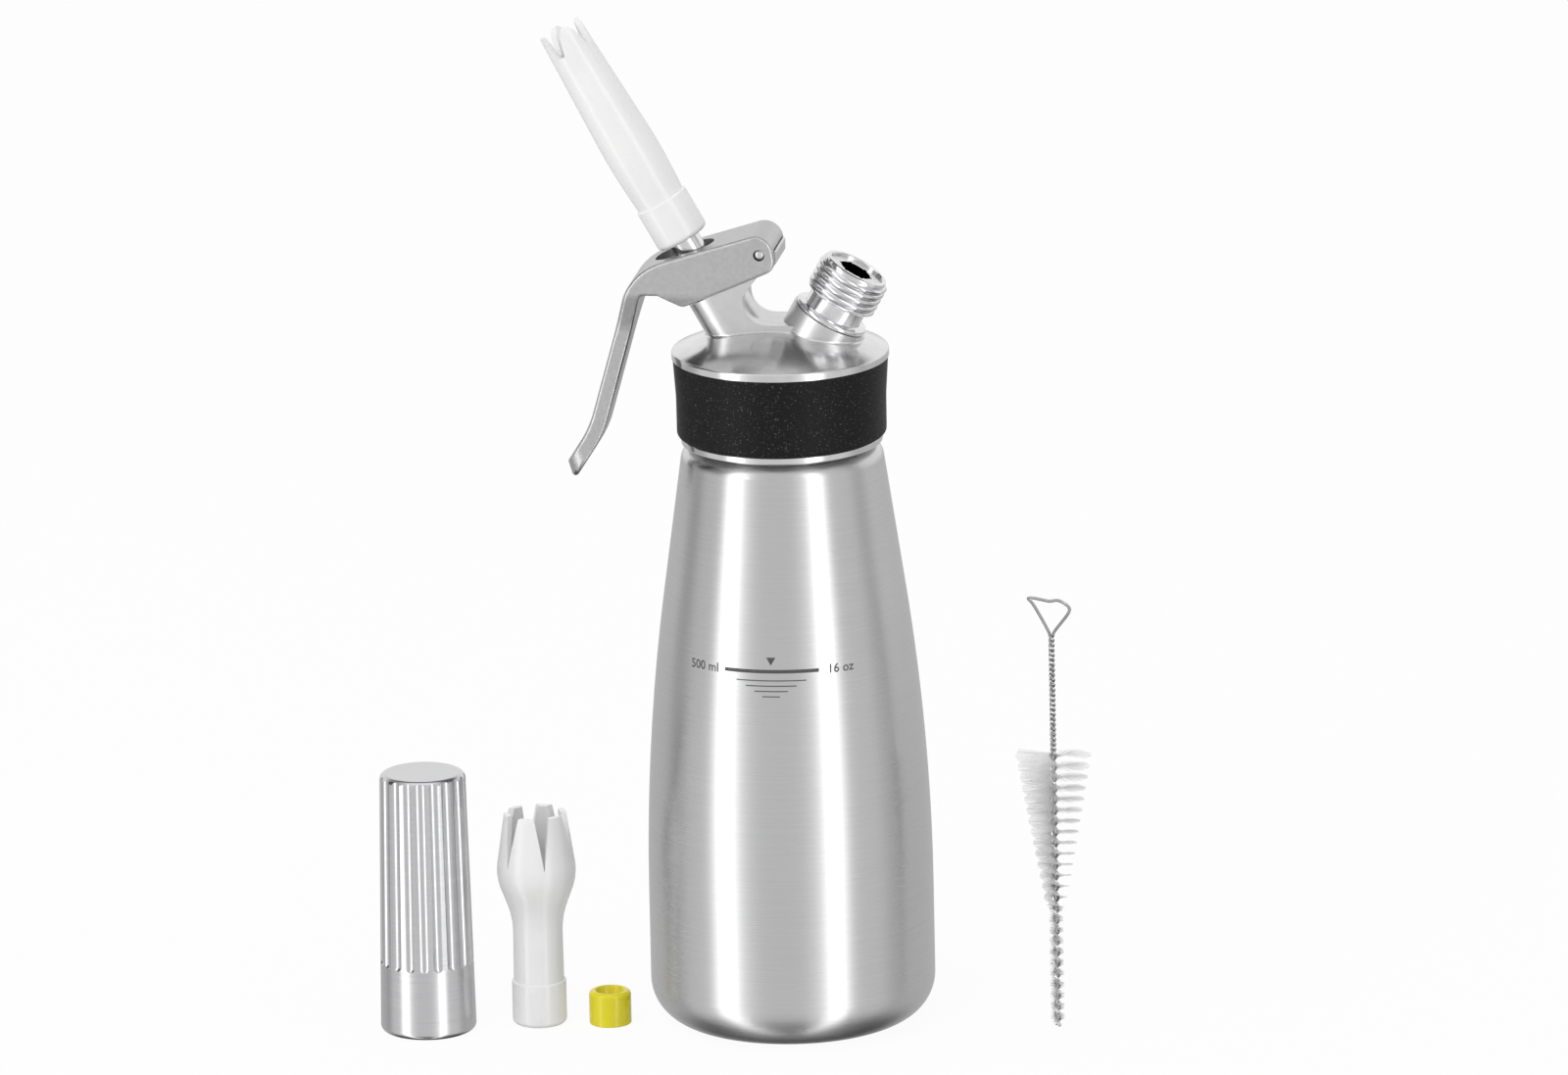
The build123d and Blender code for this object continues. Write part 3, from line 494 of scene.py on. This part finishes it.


# %% [markdown]
# ## Dress the CAD parts
# The record names a material slot for each part. Each slot gets one finish, and every CAD
# part takes the finish of its slot. Only the small parts in the nipple's cup are darker, as
# painted shade for the deep cup: the metal ones near black below their upper face, the seal in
# black rubber. The picture's bottle shows no mirror image of the yellow piece, so that one is hidden from mirrors.

# %% Dress the CAD parts
finishes = {
    "bottle_steel": brushed_steel(),
    "cast_aluminium": cast_aluminium(),
    "lever_aluminium": blasted_aluminium(),
    "holder_aluminium": turned_aluminium(),
    "black_rubber": speckled_rubber(),
    "grey_rubber": seal_rubber(),
    "chrome": bright_chrome(),
    "wire_steel": drawn_wire(),
    "white_plastic": white_plastic(),
    "yellow_plastic": yellow_plastic(),
    "bristle_nylon": nylon(),
}
thread_mount = next(mount for mount in record["mounts"] if mount["name"] == "nipple_thread")
nipple_axis = Vector(thread_mount["axis"])
cup_top = max(spot.co.dot(nipple_axis) for spot in nodes["pin_retainer"].data.vertices)
# Painted shade for the deep cup: its metal parts take a near-black base colour below their upper face, and the
# seal takes the black rubber finish instead of grey.
shaded_cup_metal = cup_shade_metal(nipple_axis, cup_top)
shaded_cup_finishes = {
    "piercing_pin": shaded_cup_metal,
    "pin_retainer": shaded_cup_metal,
    "charger_seal": finishes["black_rubber"],
}
for name, part in nodes.items():
    part.data.materials.clear()
    part.data.materials.append(shaded_cup_finishes.get(name, finishes[slot_of[name]]))
nodes["spare_end_piece"].visible_glossy = False
print("finishes given to", len(nodes), "parts")

# %% [markdown]
# ## Pieces beside the CAD parts
# A piece made here takes the finish and the body of the CAD part that it belongs to, so both
# look alike and move together. Some pieces also stand in for their CAD part. The faces are
# shaded smooth, and edges bent by more than the crease angle stay sharp.

# %% Dress a new piece like a CAD part, or stand it in for one
soft_crease = math.radians(40)


def dressed_like(piece, node, crease=soft_crease):
    for face in piece.data.polygons:
        face.use_smooth = True
    piece.data.set_sharp_from_angle(angle=crease)
    piece.data.materials.append(finishes[slot_of[node]])
    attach(piece, body_of[node])


def stands_for(piece, node, crease=soft_crease):
    dressed_like(piece, node, crease)
    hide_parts(node)


print("helpers for new pieces ready")

# %% [markdown]
# ## Charger nipple
# The charger holder screws on this nipple, so it carries a real screw thread. The CAD part
# has a plain band there. A Screw modifier could wind it, but spin with a rise does the same
# in one step: one upright row of round crests and narrow grooves, spun once round while it
# climbs one pitch, closes on itself. Two planes then cut the ends flat, and the cut edges are
# drawn inwards and bridged, which makes a sleeve.

# %% Wind the thread
cap_plane = 195.6 * mm
nipple_foot = Vector((9.26 * mm, 0, cap_plane))
nipple_turn = nipple_axis.to_track_quat("Z", "Y").to_matrix().to_4x4()
nipple_place = Matrix.Translation(nipple_foot) @ nipple_turn
thread_low = 16.8 * mm
thread_top = 25.6 * mm
thread_r = thread_mount["dims"]["r_mm"] * mm
thread_root_r = 9.35 * mm
thread_bore_r = 9.0 * mm
thread_pitch = 2.0 * mm
thread_crest_share = 0.94
crest_steps = 10
thread_lead = 0.5 * mm
thread_crease = math.radians(28)
spare_turns = 2
turn_steps = 96
weld_gap = 0.001 * mm


def merged(bm):
    bmesh.ops.remove_doubles(bm, verts=bm.verts, dist=weld_gap)
    bmesh.ops.recalc_face_normals(bm, faces=bm.faces)
    return bm


def upright_row(bm, points):
    spots = [bm.verts.new((r, 0, level)) for r, level in points]
    return spots + [bm.edges.new(pair) for pair in zip(spots, spots[1:])]


def spun(points, steps):
    bm = bmesh.new()
    round_axis = {"cent": (0, 0, 0), "axis": (0, 0, 1), "angle": math.tau}
    bmesh.ops.spin(bm, geom=upright_row(bm, points), steps=steps, use_merge=True, **round_axis)
    return merged(bm)


def thread_row():
    ridge = [(0.0, thread_root_r)]
    for step in range(crest_steps + 1):
        across = thread_crest_share * (2 * step / crest_steps - 1)
        crest = math.sqrt(1 - across**2)
        ridge.append(((1 + across) / 2, thread_root_r + (thread_r - thread_root_r) * crest))
    turns = math.ceil((thread_top - thread_low) / thread_pitch) + spare_turns
    for turn in range(turns):
        for share, r in ridge:
            yield r, thread_low + (turn - spare_turns + share) * thread_pitch


def cut_ends(bm):
    for level, way in ((thread_low, -1), (thread_top, 1)):
        everything = bm.verts[:] + bm.edges[:] + bm.faces[:]
        cut = {"plane_co": (0, 0, level), "plane_no": (0, 0, way), "clear_outer": True}
        bmesh.ops.bisect_plane(bm, geom=everything, **cut)


def draw_in(spot, r):
    share = r / math.hypot(spot.co.x, spot.co.y)
    spot.co.x *= share
    spot.co.y *= share


def slope_ends(bm):
    for spot in bm.verts:
        end_gap = min(spot.co.z - thread_low, thread_top - spot.co.z)
        limit = thread_r - max(thread_lead - end_gap, 0)
        if math.hypot(spot.co.x, spot.co.y) > limit:
            draw_in(spot, limit)


def close_sleeve(bm):
    ends = [edge for edge in bm.edges if edge.is_boundary]
    for spot in bmesh.ops.extrude_edge_only(bm, edges=ends)["geom"]:
        if isinstance(spot, bmesh.types.BMVert):
            draw_in(spot, thread_bore_r)
    bmesh.ops.bridge_loops(bm, edges=[edge for edge in bm.edges if edge.is_boundary])


def wound_thread():
    bm = bmesh.new()
    climb = {"dvec": (0, 0, thread_pitch / turn_steps), "angle": math.tau, "steps": turn_steps}
    row = upright_row(bm, thread_row())
    bmesh.ops.spin(bm, geom=row, cent=(0, 0, 0), axis=(0, 0, 1), **climb)
    bmesh.ops.remove_doubles(bm, verts=bm.verts, dist=weld_gap)
    cut_ends(bm)
    slope_ends(bm)
    close_sleeve(bm)
    return merged(bm)


thread_turns = (thread_top - thread_low) / thread_pitch
print("thread turns:", round(thread_turns, 1))

# %% [markdown]
# The rest of the nipple is turned on a lathe, so it is one outline spun round the axis. The
# thread is set over it, a hair proud of the core, and both make one piece.

# %% Turn the nipple
nipple_outline_mm = (
    (1.2, 17.3), (1.2, 2.9), (6.4, 2.9), (6.6, 3.1), (6.6, 5.8), (5.0, 5.8), (5.0, 7.4), (6.6, 7.4),
    (6.6, 10.6), (10.2, 10.6), (10.55, 10.75), (10.7, 11.1), (10.7, 11.6), (10.55, 11.95), (10.2, 12.1),
    (8.75, 12.1), (8.45, 12.25), (8.35, 12.6), (8.35, 16.82), (9.3, 16.82), (9.3, 25.58), (9.35, 25.58),
    (9.35, 26.4), (9.2, 26.85), (8.8, 27.05), (8.1, 27.05), (7.9, 26.85), (7.9, 17.3), (1.2, 17.3),
)


def joined(*shells):
    whole = bmesh.new()
    for shell in shells:
        mesh = bpy.data.meshes.new("shell")
        shell.to_mesh(mesh)
        shell.free()
        whole.from_mesh(mesh)
        bpy.data.meshes.remove(mesh)
    return whole


core = spun([(r * mm, level * mm) for r, level in nipple_outline_mm], turn_steps)
bm = joined(core, wound_thread())
bmesh.ops.transform(bm, matrix=nipple_place, verts=bm.verts)
nipple = new_object("threaded_nipple", bm)
stands_for(nipple, "charger_nipple", crease=thread_crease)
print("nipple faces:", len(nipple.data.polygons))

# %% [markdown]
# ## Edge of the cap
# The cap's edge is turned round and catches a clean line of light. The CAD mesh follows that
# small round with few triangles, which break the line up. A Bevel modifier could only round
# what is still sharp, so a thin ring of finer steps is spun over the edge, a hair proud of it.

# %% Spin the cap's edge
cap_r = 30.6 * mm
edge_round = 0.6 * mm
edge_foot = 193.45 * mm
edge_lift = 0.02 * mm
edge_thick = 0.1 * mm
edge_steps = 8


def edge_outline():
    reach = edge_round + edge_lift
    middle_r, middle_z = cap_r - edge_round, cap_plane - edge_round
    for step in range(edge_steps + 1):
        angle = math.pi / 2 * (1 - step / edge_steps)
        yield middle_r + reach * math.cos(angle), middle_z + reach * math.sin(angle)
    yield cap_r + edge_lift, edge_foot
    yield cap_r - edge_thick, edge_foot
    yield middle_r, cap_plane - edge_thick
    yield middle_r, cap_plane + edge_lift


cap_edge = new_object("cap_edge", spun(list(edge_outline()), 2 * turn_steps))
dressed_like(cap_edge, "head_casting")
print("cap edge faces:", len(cap_edge.data.polygons))

# %% [markdown]
# ## Valve spring
# The spring pushes the valve's collar up and is seen between the tower and the lever. It is
# a wire on a helix: the end turns lie close, so that they sit flat, and the turns between
# are open. A curve with a round bevel follows such a line well, and is then made a mesh.

# %% Wind the spring
valve_joint = next(joint for joint in frame["joints"] if joint["name"] == "valve_press")
valve_axis = -Vector(valve_joint["axis"])
valve_foot = Vector((-9.16 * mm, 0, cap_plane))
valve_turn = valve_axis.to_track_quat("Z", "Y").to_matrix().to_4x4()
valve_place = Matrix.Translation(valve_foot) @ valve_turn
spring_spots = [spot.co for spot in nodes["valve_spring"].data.vertices]
spring_levels = [(spot - valve_foot).dot(valve_axis) for spot in spring_spots]
spring_low, spring_high = min(spring_levels), max(spring_levels)
spring_wire_r = 0.55 * mm
spring_mean_r = 5.45 * mm
spring_turns = 6
spring_close_share = 0.45
points_per_turn = 16


def wire_along(name, points, radius, place=Matrix()):
    data = bpy.data.curves.new(name, "CURVE")
    data.dimensions = "3D"
    data.bevel_depth = radius
    data.bevel_resolution = 2
    data.resolution_u = 3
    data.use_fill_caps = True
    line = data.splines.new("NURBS")
    line.points.add(len(points) - 1)
    for spot, point in zip(line.points, points):
        spot.co = (*point, 1)
    line.order_u = 4
    line.use_endpoint_u = True
    curve = bpy.data.objects.new(name, data)
    bpy.context.scene.collection.objects.link(curve)
    mesh = bpy.data.meshes.new_from_object(curve.evaluated_get(bpy.context.evaluated_depsgraph_get()))
    bpy.data.objects.remove(curve)
    mesh.name = name
    bm = bmesh.new()
    bm.from_mesh(mesh)
    bpy.data.meshes.remove(mesh)
    bmesh.ops.transform(bm, matrix=place, verts=bm.verts)
    return new_object(name, merged(bm))


def spring_rise(share):
    ease = math.sin(math.tau * share) / math.tau
    return share - spring_close_share * ease


def spring_line():
    low, high = spring_low + spring_wire_r, spring_high - spring_wire_r
    count = spring_turns * points_per_turn
    for step in range(count + 1):
        angle = math.tau * step / points_per_turn
        level = low + (high - low) * spring_rise(step / count)
        yield Vector((spring_mean_r * math.cos(angle), spring_mean_r * math.sin(angle), level))


spring = wire_along("coil_spring", list(spring_line()), spring_wire_r, valve_place)
stands_for(spring, "valve_spring")
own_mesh(spring)

# %% [markdown]
# ## Brush wire
# The cleaning brush is one wire. It goes up one side of the twist, round a bent loop for a
# hook, and down the other side. The twist is tight in the bare shank and twice as slow where
# it holds the bristles, which also keep the strands a little apart. Both strands are one
# helix, half a turn apart, so a single function gives either.

# %% Twist the wire
bristle_low, bristle_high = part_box("brush_bristles")
brush_axis = Vector(((bristle_low.x + bristle_high.x) / 2, (bristle_low.y + bristle_high.y) / 2, 0))
strand_r = 0.45 * mm
held_r = 0.7 * mm
bristle_top = 80.4 * mm
shank_top = 115.2 * mm
brush_pitch = 6.4 * mm
shank_pitch = 2.9 * mm
loop_bends_mm = (
    (-0.7, 116.0), (-2.6, 119.7), (-4.3, 122.7), (-5.4, 124.6), (-6.5, 125.5), (-6.5, 125.75),
    (-5.0, 125.85), (-2.4, 125.3), (-0.3, 124.8), (1.0, 125.2), (2.2, 125.35), (4.3, 124.2),
    (5.45, 123.0), (5.3, 121.8), (2.6, 118.4), (0.7, 116.0),
)


def twist_angle(level):
    held = min(level, bristle_top) / brush_pitch
    bare = max(level - bristle_top, 0) / shank_pitch
    return -math.tau * (held + bare)


def strand(side):
    level = strand_r
    while level < shank_top:
        angle = twist_angle(level) + side * math.pi
        reach = held_r if level < bristle_top else strand_r
        yield brush_axis + Vector((reach * math.cos(angle), reach * math.sin(angle), level))
        level += (brush_pitch if level < bristle_top else shank_pitch) / points_per_turn


loop = [brush_axis + Vector((x * mm, 0, z * mm)) for x, z in loop_bends_mm]
left_side = 1 if math.cos(twist_angle(shank_top)) > 0 else 0
wire_line = list(strand(left_side)) + loop + list(strand(1 - left_side))[::-1]
brush_wire = wire_along("twisted_wire", wire_line, strand_r)
stands_for(brush_wire, "brush_wire")
wire_long = sum((after - before).length for before, after in zip(wire_line, wire_line[1:]))
print("wire length in mm:", round(wire_long / mm))

# %% [markdown]
# ## Bristles
# The bristles are clamped between the two strands, so they fan out in two blades that turn
# with the twist: a cone at the top and a short fringe below. In the fringe they spread more
# round the wire, which hides the turning of the blades. Particle hair would vanish in an
# export, so each bristle is a thin three-sided spike. A seeded random draw tips each a little,
# which keeps the blades from looking machined.

# %% Set the bristles
bristle_waist = 35.5 * mm
bristle_foot = 1.2 * mm
bristle_reach = 11.0 * mm
waist_reach = 2.9 * mm
fringe_reach = 2.0 * mm
bristle_thick = 0.085 * mm
fringe_step = 0.06 * mm
cone_step = 0.05 * mm
bristle_shortest = 0.96
bristle_tip_share = 0.7
bristle_sway = 0.025
fringe_sway = 0.7
tuft_size = 24
bristle_seed = 11


def bristle_length(level):
    if level < bristle_waist:
        return fringe_reach
    share = (level - bristle_waist) / (bristle_top - bristle_waist)
    return waist_reach + (bristle_reach - waist_reach) * share


def bristle_levels():
    fringe = (bristle_foot, bristle_waist, fringe_step)
    cone = (bristle_waist, bristle_top, cone_step)
    for low, high, step in (fringe, cone):
        for count in range(int((high - low) / step)):
            yield low + count * step


def bristle(bm, level, side, draw):
    long = bristle_length(level) * draw.uniform(bristle_shortest, 1.0)
    spread = fringe_sway if level < bristle_waist else bristle_sway
    turn = Matrix.Rotation(twist_angle(level) + side + draw.uniform(-spread, spread), 4, "Z")
    tip = Matrix.Rotation(math.pi / 2 + draw.uniform(-bristle_sway, bristle_sway), 4, "Y")
    place = Matrix.Translation(brush_axis + Vector((0, 0, level))) @ turn @ tip
    shape = {"segments": 3, "radius1": bristle_thick, "radius2": bristle_thick * bristle_tip_share}
    spot = place @ Matrix.Translation((0, 0, long / 2))
    bmesh.ops.create_cone(bm, cap_ends=True, cap_tris=True, depth=long, matrix=spot, **shape)


def bristles():
    draw = random.Random(bristle_seed)
    tufts = []
    for count, level in enumerate(bristle_levels()):
        if count % tuft_size == 0:
            tufts.append(bmesh.new())
        for side in (0.0, math.pi):
            bristle(tufts[-1], level, side, draw)
    return joined(*tufts)


brush = new_object("bristles", bristles())
stands_for(brush, "brush_bristles")
print("bristle faces:", len(brush.data.polygons))

# %% [markdown]
# ## Fill mark
# A mark printed on the bottle shows how far to fill it: one thick line, four short ones under
# it, a pointer above and a plain amount at each end. Each is made flat and then bent round
# the bottle. A Shrinkwrap modifier could do that, but the bottle is round, so a ray from its
# axis finds the wall at each height just as well.

# %% Print the fill mark
mark_level = 111.0 * mm
mark_azimuth = math.radians(1.8)
ink_lift = 0.03 * mm
line_long = 27.2 * mm
line_thick = 1.0 * mm
short_lines_mm = ((20.0, 2.6), (14.5, 4.1), (9.5, 5.6), (5.0, 7.1))
short_thick = 0.3 * mm
letter_high = 3.6 * mm
letter_weight = 0.04 * mm
amounts = (("500 ml", -20.6 * mm), ("16 oz", 20.2 * mm))
pointer_r = 1.5 * mm
pointer_rise = 3.2 * mm
line_pieces = 24
bottle_probe = 0.1


def bar(bm, width, height, middle):
    place = Matrix.Translation((0, middle, 0)) @ Matrix.Diagonal((width / 2, height / 2, 1, 1))
    bmesh.ops.create_grid(bm, x_segments=line_pieces, y_segments=1, size=1.0, matrix=place)


def lettering(bm, words, middle):
    data = bpy.data.curves.new("amount", "FONT")
    data.body = words
    data.size = letter_high
    data.offset = letter_weight
    data.align_x = "CENTER"
    data.align_y = "CENTER"
    data.resolution_u = 3
    text = bpy.data.objects.new("amount", data)
    bpy.context.scene.collection.objects.link(text)
    mesh = bpy.data.meshes.new_from_object(text.evaluated_get(bpy.context.evaluated_depsgraph_get()))
    bpy.data.objects.remove(text)
    mesh.transform(Matrix.Translation((middle, 0, 0)))
    bm.from_mesh(mesh)
    bpy.data.meshes.remove(mesh)


def on_bottle(flat):
    level = mark_level + flat.y
    start = Vector((0, -bottle_probe, level))
    wall = nodes["bottle"].ray_cast(start, Vector((0, 1, 0)))[1]
    reach = -wall.y + ink_lift
    angle = mark_azimuth + flat.x / reach
    return Vector((reach * math.sin(angle), -reach * math.cos(angle), level))


def fill_mark():
    bm = bmesh.new()
    bar(bm, line_long, line_thick, 0)
    for width, drop in short_lines_mm:
        bar(bm, width * mm, short_thick, -drop * mm)
    for words, middle in amounts:
        lettering(bm, words, middle)
    pointer = bmesh.ops.create_circle(bm, cap_ends=True, segments=3, radius=pointer_r)["verts"]
    bmesh.ops.rotate(bm, cent=(0, 0, 0), matrix=Matrix.Rotation(math.pi, 3, "Z"), verts=pointer)
    bmesh.ops.translate(bm, vec=(0, pointer_rise, 0), verts=pointer)
    for spot in bm.verts:
        spot.co = on_bottle(spot.co)
    return bm


mark = new_object("fill_mark", fill_mark())
mark.data.materials.append(printed_ink())
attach(mark, "bottle")
print("fill mark faces:", len(mark.data.polygons))
